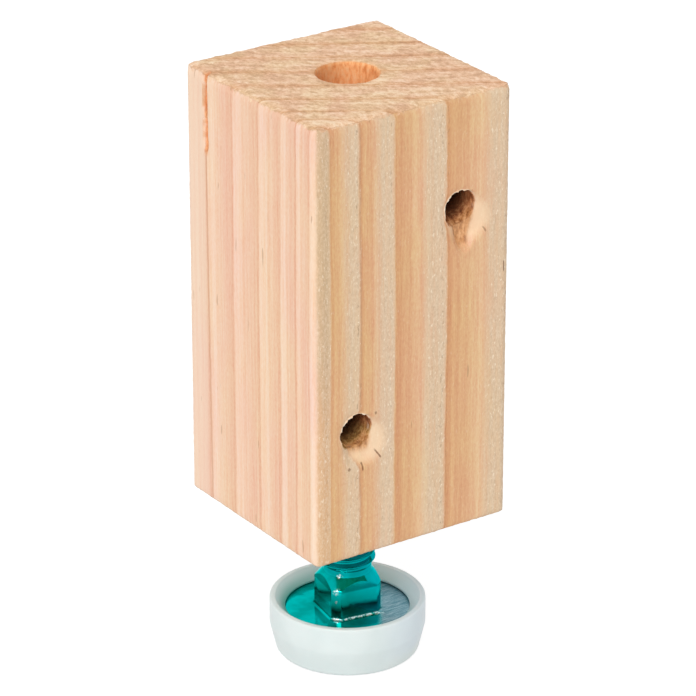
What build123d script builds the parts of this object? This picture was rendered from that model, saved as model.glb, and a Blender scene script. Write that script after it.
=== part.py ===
from build123d import *
from math import cos, radians, sin
import os

# Adjustable plinth leg: a softwood block that is screwed to a cabinet, on a levelling screw whose
# round flange turns in a plastic glide cup. Sizes are in millimetres.
# The origin is the centre of the cup's underside, where the leg stands on the floor, and Z points up.

# Wood block
BLOCK_SIDE = 40.0
BLOCK_HEIGHT = 80.0
BLOCK_EDGE_RADIUS = 1.4
BLOCK_END_CHAMFER = 0.5
DRIVER_BORE_D = 10.6

# Fixing holes: each starts on the front face and rises through the block to the back face
FIXING_HOLE_D = 6.0
FIXING_HOLE_RISE = 15.0
UPPER_HOLE_X = 9.5
UPPER_HOLE_FROM_TOP = 20.7
LOWER_HOLE_X = -11.6
LOWER_HOLE_FROM_BOTTOM = 23.4

# Shallow dish beside each mouth, for the screw's head, on the side that the drill came from
DISH_RADIUS = 4.6
DISH_DEPTH = 1.2
DISH_SHIFT_X = 1.6
DISH_SHIFT_Z = -1.9

# Height of the stack, from the floor up
CUP_FLOOR = 3.4
FLANGE_THICKNESS = 4.1
COLLAR_HEIGHT = 5.7
CONE_HEIGHT = 2.0
REST_EXTENSION = 13.4

# Glide cup
CUP_WALL = 1.9
CUP_RIM_RISE = 2.3
CUP_TAPER_HEIGHT = 5.0
CUP_TAPER_INSET = 1.2
CUP_BASE_RADIUS = 0.9
CUP_RIM_THICKNESS = 1.0
CUP_RIM_RADIUS = 0.35
CUP_RIM_INNER_CHAMFER = 0.25
SNAP_LIP_OVERLAP = 0.8
SNAP_LIP_LAND = 0.4

# Levelling screw
FLANGE_D = 23.8
FLANGE_EDGE_CHAMFER = 0.5
FLANGE_SIDE_CLEARANCE = 0.1
FLANGE_TOP_CLEARANCE = 0.1
COLLAR_D = 12.0
COLLAR_ACROSS_FLATS = 9.7
COLLAR_TURN = -9.0
COLLAR_FOOT_FILLET = 0.5
NECK_D = 8.6
NECK_LENGTH = 0.9
SHANK_D = 10.0
SHANK_LENGTH = 60.0
SHANK_CHAMFER = 0.9
SLOT_WIDTH = 1.6
SLOT_DEPTH = 2.4

# Tee nut, driven into the block from below
NUT_RUNNING_CLEARANCE = 0.05
NUT_WALL = 1.1
NUT_BARREL_HEIGHT = 12.0
NUT_FLANGE_D = 25.0
NUT_FLANGE_THICKNESS = 1.5
NUT_MOUTH_CHAMFER = 0.5
PRONG_COUNT = 4
PRONG_RADIUS = 10.2
PRONG_THICKNESS = 1.4
PRONG_BASE_WIDTH = 3.6
PRONG_TIP_WIDTH = 0.9
PRONG_LENGTH = 8.0
PRONG_FIRST_ANGLE = 45.0
WOOD_CLEARANCE = 0.05

# Levels and radii that follow from the sizes above
FLANGE_TOP = CUP_FLOOR + FLANGE_THICKNESS
COLLAR_TOP = FLANGE_TOP + COLLAR_HEIGHT
CONE_TOP = COLLAR_TOP + CONE_HEIGHT
CUP_GROOVE_RADIUS = FLANGE_D / 2 + FLANGE_SIDE_CLEARANCE
CUP_RADIUS = CUP_GROOVE_RADIUS + CUP_WALL
CUP_TOP = FLANGE_TOP + CUP_RIM_RISE
NECK_TOP = CONE_TOP + NECK_LENGTH
SHANK_TOP = CONE_TOP + SHANK_LENGTH
BLOCK_BOTTOM = CONE_TOP + REST_EXTENSION
BLOCK_TOP = BLOCK_BOTTOM + BLOCK_HEIGHT
NUT_BORE_RADIUS = SHANK_D / 2 + NUT_RUNNING_CLEARANCE
NUT_BARREL_RADIUS = NUT_BORE_RADIUS + NUT_WALL
NUT_BOTTOM = BLOCK_BOTTOM - NUT_FLANGE_THICKNESS
NUT_TOP = BLOCK_BOTTOM + NUT_BARREL_HEIGHT
UPPER_HOLE_Z = BLOCK_TOP - UPPER_HOLE_FROM_TOP
LOWER_HOLE_Z = BLOCK_BOTTOM + LOWER_HOLE_FROM_BOTTOM
FRONT_Y = -BLOCK_SIDE / 2

UPRIGHT = (Align.CENTER, Align.CENTER, Align.MIN)


def turned(points):
    """A body of revolution about Z, from a closed outline of (radius, height) points."""
    outline = make_face(Polyline(*[(radius, 0, height) for radius, height in points], close=True))
    return revolve(outline, Axis.Z)


def fixing_hole(x, z):
    """The drill's path through the block, from its mouth on the front face."""
    drill = Vector(0, cos(radians(FIXING_HOLE_RISE)), sin(radians(FIXING_HOLE_RISE)))
    reach = BLOCK_SIDE / drill.Y + 2 * FIXING_HOLE_D
    start = Vector(x, FRONT_Y, z) - drill * FIXING_HOLE_D
    return Plane(start, z_dir=drill) * Cylinder(FIXING_HOLE_D / 2, reach, align=UPRIGHT)


def screw_head_dish(x, z):
    """A shallow round dish that opens a hole's mouth to one side."""
    ball_radius = (DISH_RADIUS ** 2 + DISH_DEPTH ** 2) / (2 * DISH_DEPTH)
    ball_y = FRONT_Y + DISH_DEPTH - ball_radius
    return Pos(x + DISH_SHIFT_X, ball_y, z + DISH_SHIFT_Z) * Sphere(ball_radius)


def prong(angle, clearance):
    """One pointed prong of the tee nut, standing on its flange, grown by a clearance for the wood."""
    half_base = PRONG_BASE_WIDTH / 2 + clearance
    half_tip = PRONG_TIP_WIDTH / 2 + clearance
    tip = BLOCK_BOTTOM + PRONG_LENGTH + clearance
    corners = [(-half_base, NUT_BOTTOM), (half_base, NUT_BOTTOM), (half_base, BLOCK_BOTTOM),
               (half_tip, tip), (-half_tip, tip), (-half_base, BLOCK_BOTTOM)]
    outline = make_face(Polyline(*[(0, y, z) for y, z in corners], close=True))
    blade = extrude(outline, PRONG_THICKNESS / 2 + clearance, dir=(1, 0, 0), both=True)
    return Rot(0, 0, angle) * Pos(PRONG_RADIUS, 0, 0) * blade


def prong_angles():
    return [PRONG_FIRST_ANGLE + i * 360 / PRONG_COUNT for i in range(PRONG_COUNT)]


def wood_block():
    block = Pos(0, 0, BLOCK_BOTTOM) * Box(BLOCK_SIDE, BLOCK_SIDE, BLOCK_HEIGHT, align=UPRIGHT)
    block = fillet(block.edges().filter_by(Axis.Z), BLOCK_EDGE_RADIUS)
    ends = block.faces().filter_by(Axis.Z)
    block = chamfer(ends.edges(), BLOCK_END_CHAMFER)

    # The bore for the driver and the shank, widened from below for the tee nut's barrel
    block -= Pos(0, 0, BLOCK_BOTTOM) * Cylinder(DRIVER_BORE_D / 2, BLOCK_HEIGHT, align=UPRIGHT)
    barrel_hole = Cylinder(NUT_BARREL_RADIUS + WOOD_CLEARANCE, NUT_BARREL_HEIGHT + WOOD_CLEARANCE, align=UPRIGHT)
    block -= Pos(0, 0, BLOCK_BOTTOM) * barrel_hole
    for angle in prong_angles():
        block -= prong(angle, WOOD_CLEARANCE)

    for x, z in ((UPPER_HOLE_X, UPPER_HOLE_Z), (LOWER_HOLE_X, LOWER_HOLE_Z)):
        block -= screw_head_dish(x, z)
        block -= fixing_hole(x, z)
    return block


def tee_nut():
    """A pressed steel nut: threaded barrel, thin flange, and prongs sheared from the flange's rim."""
    nut = turned([
        (NUT_BORE_RADIUS, NUT_BOTTOM + NUT_MOUTH_CHAMFER),
        (NUT_BORE_RADIUS + NUT_MOUTH_CHAMFER, NUT_BOTTOM),
        (NUT_FLANGE_D / 2, NUT_BOTTOM),
        (NUT_FLANGE_D / 2, BLOCK_BOTTOM),
        (NUT_BARREL_RADIUS, BLOCK_BOTTOM),
        (NUT_BARREL_RADIUS, NUT_TOP),
        (NUT_BORE_RADIUS, NUT_TOP),
    ])
    # The rim is open outside each prong, where the prong was bent up from
    notch_start = PRONG_RADIUS + PRONG_THICKNESS / 2
    notch = Box(NUT_FLANGE_D / 2, PRONG_BASE_WIDTH, 2 * NUT_FLANGE_THICKNESS,
                align=(Align.MIN, Align.CENTER, Align.CENTER))
    for angle in prong_angles():
        nut -= Rot(0, 0, angle) * Pos(notch_start, 0, NUT_BOTTOM) * notch
        nut += prong(angle, 0)
    return nut


def levelling_screw():
    """One cold-formed piece: flange, collar with four spanner flats, cone, neck and slotted shank."""
    flange = Pos(0, 0, CUP_FLOOR) * Cylinder(FLANGE_D / 2, FLANGE_THICKNESS, align=UPRIGHT)
    flange = chamfer(flange.edges(), FLANGE_EDGE_CHAMFER)

    collar_radius = COLLAR_D / 2
    collar = turned([
        (0, FLANGE_TOP),
        (collar_radius, FLANGE_TOP),
        (collar_radius, COLLAR_TOP),
        (NECK_D / 2, CONE_TOP),
        (0, CONE_TOP),
    ])
    square = Box(COLLAR_ACROSS_FLATS, COLLAR_ACROSS_FLATS, COLLAR_HEIGHT + CONE_HEIGHT, align=UPRIGHT)
    collar &= Rot(0, 0, COLLAR_TURN) * Pos(0, 0, FLANGE_TOP) * square

    shank = turned([
        (0, FLANGE_TOP),
        (NECK_D / 2, FLANGE_TOP),
        (NECK_D / 2, NECK_TOP),
        (SHANK_D / 2, NECK_TOP + (SHANK_D - NECK_D) / 2),
        (SHANK_D / 2, SHANK_TOP - SHANK_CHAMFER),
        (SHANK_D / 2 - SHANK_CHAMFER, SHANK_TOP),
        (0, SHANK_TOP),
    ])
    slot = Pos(0, 0, SHANK_TOP - SLOT_DEPTH) * Box(SHANK_D, SLOT_WIDTH, SLOT_DEPTH, align=UPRIGHT)

    screw = flange + collar + shank - slot
    foot_edges = screw.edges().filter_by(lambda edge: at_collar_foot(edge))
    return fillet(foot_edges, COLLAR_FOOT_FILLET)


def at_collar_foot(edge):
    """True for an edge that runs round the collar's foot, on top of the flange."""
    box = edge.bounding_box()
    flat = abs(box.min.Z - FLANGE_TOP) < 0.01 and abs(box.max.Z - FLANGE_TOP) < 0.01
    near_axis = max(abs(box.min.X), abs(box.max.X), abs(box.min.Y), abs(box.max.Y)) < COLLAR_D / 2 + 0.1
    return flat and near_axis


def glide_cup():
    """A moulded cup that snaps over the flange and lets it turn."""
    base_radius = CUP_RADIUS - CUP_TAPER_INSET
    rim_inner = CUP_RADIUS - CUP_RIM_THICKNESS
    snap_radius = FLANGE_D / 2 - SNAP_LIP_OVERLAP
    snap_height = FLANGE_TOP + FLANGE_TOP_CLEARANCE
    cup = turned([
        (0, 0),
        (base_radius, 0),
        (CUP_RADIUS, CUP_TAPER_HEIGHT),
        (CUP_RADIUS, CUP_TOP),
        (rim_inner, CUP_TOP),
        (snap_radius, snap_height + SNAP_LIP_LAND),
        (snap_radius, snap_height),
        (CUP_GROOVE_RADIUS, snap_height),
        (CUP_GROOVE_RADIUS, CUP_FLOOR),
        (0, CUP_FLOOR),
    ])
    cup = fillet(ring_edges(cup, base_radius, 0), CUP_BASE_RADIUS)
    cup = fillet(ring_edges(cup, CUP_RADIUS, CUP_TOP), CUP_RIM_RADIUS)
    return chamfer(ring_edges(cup, rim_inner, CUP_TOP), CUP_RIM_INNER_CHAMFER)


def ring_edges(solid, radius, height):
    """The circular edges of a turned solid at one radius and height."""
    return solid.edges().filter_by(GeomType.CIRCLE).filter_by(
        lambda edge: abs(edge.radius - radius) < 0.01 and abs(edge.center().Z - height) < 0.01)


os.makedirs("parts", exist_ok=True)
for make in (wood_block, tee_nut, levelling_screw, glide_cup):
    export_step(make(), f"parts/{make.__name__}.step")
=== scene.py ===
from math import cos, pi, radians, sin, tan

import bpy
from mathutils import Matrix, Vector


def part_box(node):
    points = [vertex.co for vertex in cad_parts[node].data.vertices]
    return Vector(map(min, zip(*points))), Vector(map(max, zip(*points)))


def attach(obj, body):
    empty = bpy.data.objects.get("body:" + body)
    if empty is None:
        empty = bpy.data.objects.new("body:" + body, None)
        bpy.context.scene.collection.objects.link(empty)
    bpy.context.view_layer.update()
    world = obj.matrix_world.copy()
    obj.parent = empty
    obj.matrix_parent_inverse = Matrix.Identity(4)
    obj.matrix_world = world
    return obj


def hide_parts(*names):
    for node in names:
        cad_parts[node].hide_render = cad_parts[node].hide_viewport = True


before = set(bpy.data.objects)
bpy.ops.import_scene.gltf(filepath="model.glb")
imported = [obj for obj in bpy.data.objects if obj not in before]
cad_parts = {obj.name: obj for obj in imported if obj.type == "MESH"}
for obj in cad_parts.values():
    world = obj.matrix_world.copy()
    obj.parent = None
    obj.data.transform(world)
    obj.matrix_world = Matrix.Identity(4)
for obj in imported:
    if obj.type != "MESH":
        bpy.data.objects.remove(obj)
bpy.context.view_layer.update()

# Adjustable plinth leg: a sawn softwood block on a plated levelling screw, whose flange turns in a
# moulded glide cup. Lengths below are in millimetres and are turned into metres where a mesh is made.
MM = 0.001


def box_mm(node):
    """Lowest and highest corner of a CAD node, in millimetres."""
    low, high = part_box(node)
    return low / MM, high / MM


BLOCK_LOW, BLOCK_HIGH = box_mm("wood_block")
NUT_TOP = box_mm("tee_nut")[1].z
SCREW_LOW, SCREW_HIGH = box_mm("levelling_screw")
CUP_HIGH = box_mm("glide_cup")[1]

# Wood block. The fixing holes' mouths are on the front face, and both holes rise towards the back.
HALF_SIDE = BLOCK_HIGH.x
FRONT_Y = BLOCK_LOW.y
EDGE_RADIUS = 1.4
END_CHAMFER = 0.5
DRIVER_BORE_RADIUS = 5.3
BORE_MOUTH_RADIUS = 5.65
NUT_POCKET_RADIUS = 6.2
NUT_POCKET_TOP = NUT_TOP + 0.05
HOLE_RADIUS = 3.0
HOLE_RISE = radians(15)
UPPER_HOLE = Vector((9.5, FRONT_Y, BLOCK_HIGH.z - 20.7))
LOWER_HOLE = Vector((-11.6, FRONT_Y, BLOCK_LOW.z + 23.4))
DRILL = Vector((0, cos(HOLE_RISE), sin(HOLE_RISE)))
DISH_RADIUS = 4.6
DISH_DEPTH = 0.9
DISH_SHIFT = Vector((1.6, 0, -1.9))
UPPER_TROUGH = (2.3, 1.6, 5.0)
UPPER_TROUGH_SHIFT = Vector((0.8, -0.2, -3.0))
LOWER_TROUGH = (1.7, 1.2, 2.4)
LOWER_TROUGH_SHIFT = Vector((-0.2, 0, -2.6))
UPPER_TEAR_SHIFT = Vector((0.8, 0, -3.5))
LOWER_TEAR_SHIFT = Vector((0, 0, -3))
SKIN_CELL = 0.5

# Short splits and nicks on the front face: two ends (x, z), half the width, and how dark each one is
NICKS = (
    ((-8.3, 48.7), (-6.8, 46.4), 0.14, 0.75),
    ((-10.6, 46.3), (-10.5, 44.9), 0.16, 0.7),
    ((-13.4, 45.9), (-13.1, 45.5), 0.3, 0.65),
    ((-7.9, 55.2), (-7.8, 54.7), 0.25, 0.6),
    ((18.5, 76.6), (18.6, 74.7), 0.16, 0.7),
    ((14.2, 83.8), (14.7, 82.9), 0.14, 0.5),
)

# The resin crack: where it starts at the top, its slant, how far down it is open, and the X that only points
# of the left face lie beyond
RESIN_CRACK_TOP_Y = 13.45
RESIN_CRACK_DRIFT = 0.0094
RESIN_CRACK_OPEN = 14.6
LEFT_SKIN_X = -19

# Growth rings: sheets along the grain, counted in millimetres from the front left edge of the block. Each
# edge is a sharp line where a ring ends. WOOL_STARTS gives where the woolly part of each ring starts, from
# the second ring on. The last two have none, because a colour ramp holds only 32 stops.
RING_ACROSS_FRONT = 0.58
RING_ACROSS_SIDE = 0.837
RING_CURVE = -0.0015
RING_EDGES = (1.5, 4.9, 8.7, 14.2, 20.9, 27.6, 34.5, 41.0, 48.0)
RING_SPAN = 56.0
WOOL_STARTS = (3.3, 7.0, 12.1, 18.5, 24.6, 31.4, 38.0)

# Levelling screw
CUP_FLOOR = SCREW_LOW.z
FLANGE_RADIUS = SCREW_HIGH.x
FLANGE_TOP = CUP_FLOOR + 4.1
COLLAR_TOP = FLANGE_TOP + 5.7
CONE_TOP = COLLAR_TOP + 2.0
COLLAR_RADIUS = 6.0
COLLAR_HALF_FLATS = 4.85
COLLAR_TURN = radians(-9)
COLLAR_FOOT = 0.5
NECK_RADIUS = 4.3
NECK_TOP = CONE_TOP + 0.9
THREAD_PITCH = 1.5
THREAD_ROOT = 4.1
THREAD_CREST = 4.97
THREAD_TURNS_BELOW = 2.37
SHANK_CHAMFER = 0.9
SLOT_WIDTH = 1.6
SLOT_DEPTH = 2.4

# Wear and painted light on the plating: the angle about Z of the rubbed side, scratched and given a painted
# reflection, and of the collar corner that carries painted highlights, and the highlight spots at that
# corner, by distance from the axis, height and radius
RUB_AND_REFLECTION_ANGLE = radians(-34)
GLINT_CORNER = COLLAR_TURN + radians(-135)
GLINT_SPOTS = (
    (5.7, COLLAR_TOP - 0.2, 0.9),
    (5.9, COLLAR_TOP - 2.2, 0.55),
    (6.2, FLANGE_TOP + 0.2, 1.0),
    (4.2, CONE_TOP + 0.1, 0.7),
)

# Glide cup
CUP_RADIUS = CUP_HIGH.x
CUP_TOP = CUP_HIGH.z
CUP_BASE_RADIUS = CUP_RADIUS - 1.2
CUP_TAPER_TOP = 5.0
CUP_RIM = 1.0
CUP_GROOVE_RADIUS = FLANGE_RADIUS + 0.1
CUP_SNAP_RADIUS = FLANGE_RADIUS - 0.8
CUP_SNAP_BOTTOM = FLANGE_TOP + 0.1
CUP_SNAP_TOP = CUP_SNAP_BOTTOM + 0.4

# Stage and light: how strongly the room and the key light shine, and the floor's greys, lit and as seen
ROOM_LIGHT = 0.70
KEY_LIGHT = 1.45
KEY_SPREAD = radians(35)
KEY_TOWARDS = Vector((-0.60, -0.49, 0.63))
FLOOR_SIZE = 4
FLOOR_LIT = (0.8, 0.8, 0.8, 1)
FLOOR_SEEN = (0.35, 0.35, 0.35, 1)
FLOOR_GLOW = 0.78

# Camera, fitted to the photograph: its angles, aim, distance, and how far it is moved aside and down
VIEW_AZIMUTH = radians(-34.40)
VIEW_ELEVATION = radians(23.83)
VIEW_AIM = Vector((0, 0, 68.6))
VIEW_DISTANCE = 717.0
VIEW_ASIDE = 0.095
VIEW_DOWN = 9.989
SENSOR_WIDTH = 36.0
FOCAL_LENGTH = 215.28


# Modelling tools

def deselect_all():
    bpy.ops.object.select_all(action="DESELECT")


def pick_up(piece):
    deselect_all()
    piece.select_set(True)
    bpy.context.view_layer.objects.active = piece


def edit(piece, kind):
    """Go into edit mode, on points, edges or faces, with everything on the piece selected."""
    pick_up(piece)
    bpy.ops.object.mode_set(mode="EDIT")
    bpy.ops.mesh.select_mode(type=kind)
    bpy.ops.mesh.select_all(action="SELECT")


def done():
    bpy.ops.object.mode_set(mode="OBJECT")


def select_faces(piece, wanted):
    """Go into edit mode with only the faces selected whose middle (mm) and normal pass the test."""
    edit(piece, "FACE")
    bpy.ops.mesh.select_all(action="DESELECT")
    done()
    for face in piece.data.polygons:
        face.select = wanted(face.center / MM, face.normal)
    bpy.ops.object.mode_set(mode="EDIT")


def select_edges(piece, wanted):
    """Go into edit mode with only the edges selected whose two ends (mm) pass the test."""
    edit(piece, "EDGE")
    bpy.ops.mesh.select_all(action="DESELECT")
    done()
    points = piece.data.vertices
    for edge in piece.data.edges:
        start, end = edge.vertices
        edge.select = wanted(points[start].co / MM, points[end].co / MM)
    bpy.ops.object.mode_set(mode="EDIT")


def new_piece(name):
    """Name the primitive that was just added, and put its place into its mesh."""
    piece = bpy.context.object
    piece.name = name
    piece.data.name = name
    bpy.ops.object.transform_apply(location=True, rotation=True, scale=True)
    return piece


def box(name, low, high):
    deselect_all()
    low, high = Vector(low), Vector(high)
    bpy.ops.mesh.primitive_cube_add(size=1, location=(low + high) / 2 * MM)
    bpy.context.object.scale = (high - low) * MM
    return new_piece(name)


def rod(name, radius, middle, length, tilt=0.0, sides=64):
    """A cylinder that is tilted about X from upright."""
    deselect_all()
    bpy.ops.mesh.primitive_cylinder_add(vertices=sides, radius=radius * MM, depth=length * MM,
                                        location=Vector(middle) * MM, rotation=(tilt, 0, 0))
    return new_piece(name)


def ball(name, radii, middle):
    deselect_all()
    bpy.ops.mesh.primitive_uv_sphere_add(segments=64, ring_count=32, radius=MM, location=middle * MM)
    bpy.context.object.scale = radii
    return new_piece(name)


def apply_modifier(piece, kind, **settings):
    pick_up(piece)
    modifier = piece.modifiers.new(kind.lower(), kind)
    for name, value in settings.items():
        setattr(modifier, name, value)
    bpy.ops.object.modifier_apply(modifier=modifier.name)


def combine(piece, tool, operation):
    """Cut, fuse or intersect a piece with a tool, which is used up."""
    apply_modifier(piece, "BOOLEAN", operation=operation, object=tool, solver="EXACT")
    bpy.data.objects.remove(tool)


def round_corners(corners, steps=5):
    """Turn (radius, height, rounding) corners into points, with an arc at each rounded corner."""
    points = []
    for i, (r, z, rounding) in enumerate(corners):
        here = Vector((r, z))
        if not rounding:
            points.append(here)
            continue
        before = (Vector(corners[i - 1][:2]) - here).normalized()
        after = (Vector(corners[i + 1][:2]) - here).normalized()
        half_angle = before.angle(after) / 2
        middle = here + (before + after).normalized() * rounding / sin(half_angle)
        first = here + before * rounding / tan(half_angle) - middle
        last = here + after * rounding / tan(half_angle) - middle
        sweep = first.angle_signed(last)
        for step in range(steps + 1):
            turn = -sweep * step / steps
            points.append(middle + Vector((first.x * cos(turn) - first.y * sin(turn),
                                           first.x * sin(turn) + first.y * cos(turn))))
    return points


def draw(name, points):
    """Draw a line of (radius, height) points from one vertex, extruded from point to point."""
    deselect_all()
    bpy.ops.mesh.primitive_plane_add(size=MM)
    piece = new_piece(name)
    edit(piece, "VERT")
    bpy.ops.mesh.merge(type="CENTER")
    here = Vector((0, 0))
    for number, point in enumerate(points):
        step = Vector((point[0] - here.x, 0, point[1] - here.y)) * MM
        if number == 0:
            bpy.ops.transform.translate(value=step)
        else:
            bpy.ops.mesh.extrude_vertices_move(TRANSFORM_OT_translate={"value": step})
        here = Vector(point)
    done()
    return piece


def turn_on_lathe(name, corners, steps=128):
    """Spin an outline that starts and ends on the axis once round Z, closed at both poles."""
    piece = draw(name, round_corners(corners))
    edit(piece, "VERT")
    bpy.ops.mesh.spin(steps=steps, angle=2 * pi, center=(0, 0, 0), axis=(0, 0, 1))
    bpy.ops.mesh.select_all(action="SELECT")
    bpy.ops.mesh.remove_doubles(threshold=0.001 * MM)
    bpy.ops.mesh.normals_make_consistent(inside=False)
    done()
    return piece


def roughen(piece, name, depth, grain, weight):
    """Press the skin inwards by up to a depth, in a cloudy pattern, by the weight at each point."""
    group = piece.vertex_groups.new(name=name)
    for vertex in piece.data.vertices:
        share = weight(vertex.co / MM, vertex.normal)
        if share > 0.01:
            group.add([vertex.index], min(share, 1.0), "REPLACE")
    pattern = bpy.data.textures.new(name, "CLOUDS")
    pattern.noise_scale = grain * MM
    pattern.noise_depth = 2
    apply_modifier(piece, "DISPLACE", texture=pattern, vertex_group=name, mid_level=1.0,
                   strength=depth * MM)
    piece.vertex_groups.remove(piece.vertex_groups[name])


def keep_inside(piece, low, high):
    """Hold every point of the skin within a box."""
    for vertex in piece.data.vertices:
        for axis in range(3):
            vertex.co[axis] = min(max(vertex.co[axis], low[axis] * MM), high[axis] * MM)


def fade(value, start, end):
    """0 before start, 1 after end, and a smooth step between them. It falls if end is below start."""
    share = min(max((value - start) / (end - start), 0.0), 1.0)
    return share * share * (3 - 2 * share)


# Wood block

def ring_depth(point):
    """How far a point lies into the rings, counted from the front left edge."""
    x, y = point.x + HALF_SIDE, point.y + HALF_SIDE
    return RING_ACROSS_FRONT * x + RING_CURVE * x * x + RING_ACROSS_SIDE * y


def ring_share(point):
    """0 at the start of a growth ring and 1 at its end."""
    depth = ring_depth(point)
    edges = (RING_EDGES[0] - 4.0,) + RING_EDGES + (RING_SPAN,)
    for start, end in zip(edges, edges[1:]):
        if start <= depth < end:
            return (depth - start) / (end - start)
    return 0.0


def drill_fixing_hole(block, mouth, trough, trough_shift):
    """The shallow dish beside the mouth, the torn trough below it, and the slanting hole."""
    dish_ball = (DISH_RADIUS ** 2 + DISH_DEPTH ** 2) / (2 * DISH_DEPTH)
    middle = mouth + DISH_SHIFT + Vector((0, DISH_DEPTH - dish_ball, 0))
    combine(block, ball("dish", (dish_ball,) * 3, middle), "DIFFERENCE")
    combine(block, ball("trough", trough, mouth + trough_shift), "DIFFERENCE")
    spare = 6
    length = 2 * HALF_SIDE / DRILL.y + 2 * spare
    middle = mouth + DRILL * (length / 2 - spare)
    combine(block, rod("drill_bit", HOLE_RADIUS, middle, length, HOLE_RISE - pi / 2), "DIFFERENCE")


def saw_and_drill():
    """The sawn block with eased edges, its driver bore, the pocket for the nut and both fixing holes."""
    block = box("sawn_block", BLOCK_LOW, BLOCK_HIGH)
    select_edges(block, lambda start, end: abs(start.z - end.z) > 1)
    bpy.ops.mesh.bevel(offset=EDGE_RADIUS * MM, segments=5, affect="EDGES")
    done()
    for level in (BLOCK_LOW.z, BLOCK_HIGH.z):
        select_edges(block, lambda start, end: abs(start.z - level) < 0.01 and abs(end.z - level) < 0.01)
        bpy.ops.mesh.bevel(offset=END_CHAMFER * MM, segments=3, affect="EDGES")
        done()
    bore = turn_on_lathe("bore", [
        (0, BLOCK_LOW.z - 5, 0),
        (DRIVER_BORE_RADIUS, BLOCK_LOW.z - 5, 0),
        (DRIVER_BORE_RADIUS, BLOCK_HIGH.z - 0.7, 1.0),
        (BORE_MOUTH_RADIUS + 0.1, BLOCK_HIGH.z + 0.2, 0),
        (0, BLOCK_HIGH.z + 0.2, 0),
    ], steps=64)
    combine(block, bore, "DIFFERENCE")
    pocket_low = BLOCK_LOW.z - 1
    combine(block, rod("pocket", NUT_POCKET_RADIUS, (0, 0, (pocket_low + NUT_POCKET_TOP) / 2),
                       NUT_POCKET_TOP - pocket_low), "DIFFERENCE")
    drill_fixing_hole(block, UPPER_HOLE, UPPER_TROUGH, UPPER_TROUGH_SHIFT)
    drill_fixing_hole(block, LOWER_HOLE, LOWER_TROUGH, LOWER_TROUGH_SHIFT)
    return block


def from_hole(point, mouth):
    """How far a point lies from the slanting axis of a fixing hole."""
    across = point.x - mouth.x
    up = (point.z - mouth.z) * DRILL.y - (point.y - mouth.y) * DRILL.z
    return (across * across + up * up) ** 0.5


def crack_middle(z):
    """Where the resin crack runs on the left face."""
    return RESIN_CRACK_TOP_Y - RESIN_CRACK_DRIFT * (BLOCK_HIGH.z - z)


def make_block():
    """The drilled block under one fine skin, pressed in wherever the saw and the drill left it rough."""
    block = saw_and_drill()
    apply_modifier(block, "REMESH", mode="VOXEL", voxel_size=SKIN_CELL * MM)

    def inset_of(point):
        return HALF_SIDE - max(abs(point.x), abs(point.y))

    def edges(point, normal):
        from_end = min(BLOCK_HIGH.z - point.z, point.z - BLOCK_LOW.z)
        inset = sorted((HALF_SIDE - abs(point.x), HALF_SIDE - abs(point.y), from_end))
        return fade(inset[1], 1.8, 0.3) if inset[0] < 1.5 else 0.0

    def torn_rim(point, normal):
        return fade(inset_of(point), 1.6, 0.3) * fade(point.z, BLOCK_HIGH.z - 1.6, BLOCK_HIGH.z - 0.3)

    def ends(point, normal):
        return fade(abs(normal.z), 0.5, 0.9)

    def late_wood(point, normal):
        return fade(ring_share(point), 0.55, 0.8) * fade(abs(normal.z), 0.6, 0.3)

    def planed(point, normal):
        return fade(abs(normal.z), 0.6, 0.3)

    def torn_mouths(point, normal):
        near = min(from_hole(point, UPPER_HOLE), from_hole(point, LOWER_HOLE))
        below = min((point - UPPER_HOLE - UPPER_TEAR_SHIFT).length,
                    (point - LOWER_HOLE - LOWER_TEAR_SHIFT).length)
        around = max(fade(near, HOLE_RADIUS + 1.3, HOLE_RADIUS + 0.3), fade(below, 4.0, 2.0))
        return around * fade(point.y, FRONT_Y + 3.5, FRONT_Y + 1.5)

    def resin_crack(point, normal):
        if point.x >= LEFT_SKIN_X:
            return 0.0
        foot = BLOCK_HIGH.z - RESIN_CRACK_OPEN
        return fade(abs(point.y - crack_middle(point.z)), 0.7, 0.3) * fade(point.z, foot, foot + 2)

    # How deep each place is pressed in, and how coarse its pattern is, in millimetres
    for name, depth, grain, weight in (
            ("worn_edges", 0.15, 0.9, edges),
            ("torn_rim", 0.32, 1.1, torn_rim),
            ("sawn_ends", 0.2, 0.8, ends),
            ("woolly_rings", 0.06, 0.6, late_wood),
            ("planed_sides", 0.05, 2.5, planed),
            ("torn_mouths", 0.5, 0.7, torn_mouths),
            ("resin_crack", 1.3, 1.6, resin_crack)):
        roughen(block, name, depth, grain, weight)
    keep_inside(block, BLOCK_LOW, BLOCK_HIGH)
    pick_up(block)
    bpy.ops.object.shade_smooth_by_angle(angle=radians(48))
    return block


# Levelling screw

def cut_off(piece, point, direction):
    """Cut off what lies beyond a point (mm) in a direction, and close the cut."""
    edit(piece, "FACE")
    bpy.ops.mesh.bisect(plane_co=Vector(point) * MM, plane_no=direction, use_fill=True, clear_outer=True,
                        threshold=0.0001 * MM)
    done()


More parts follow.
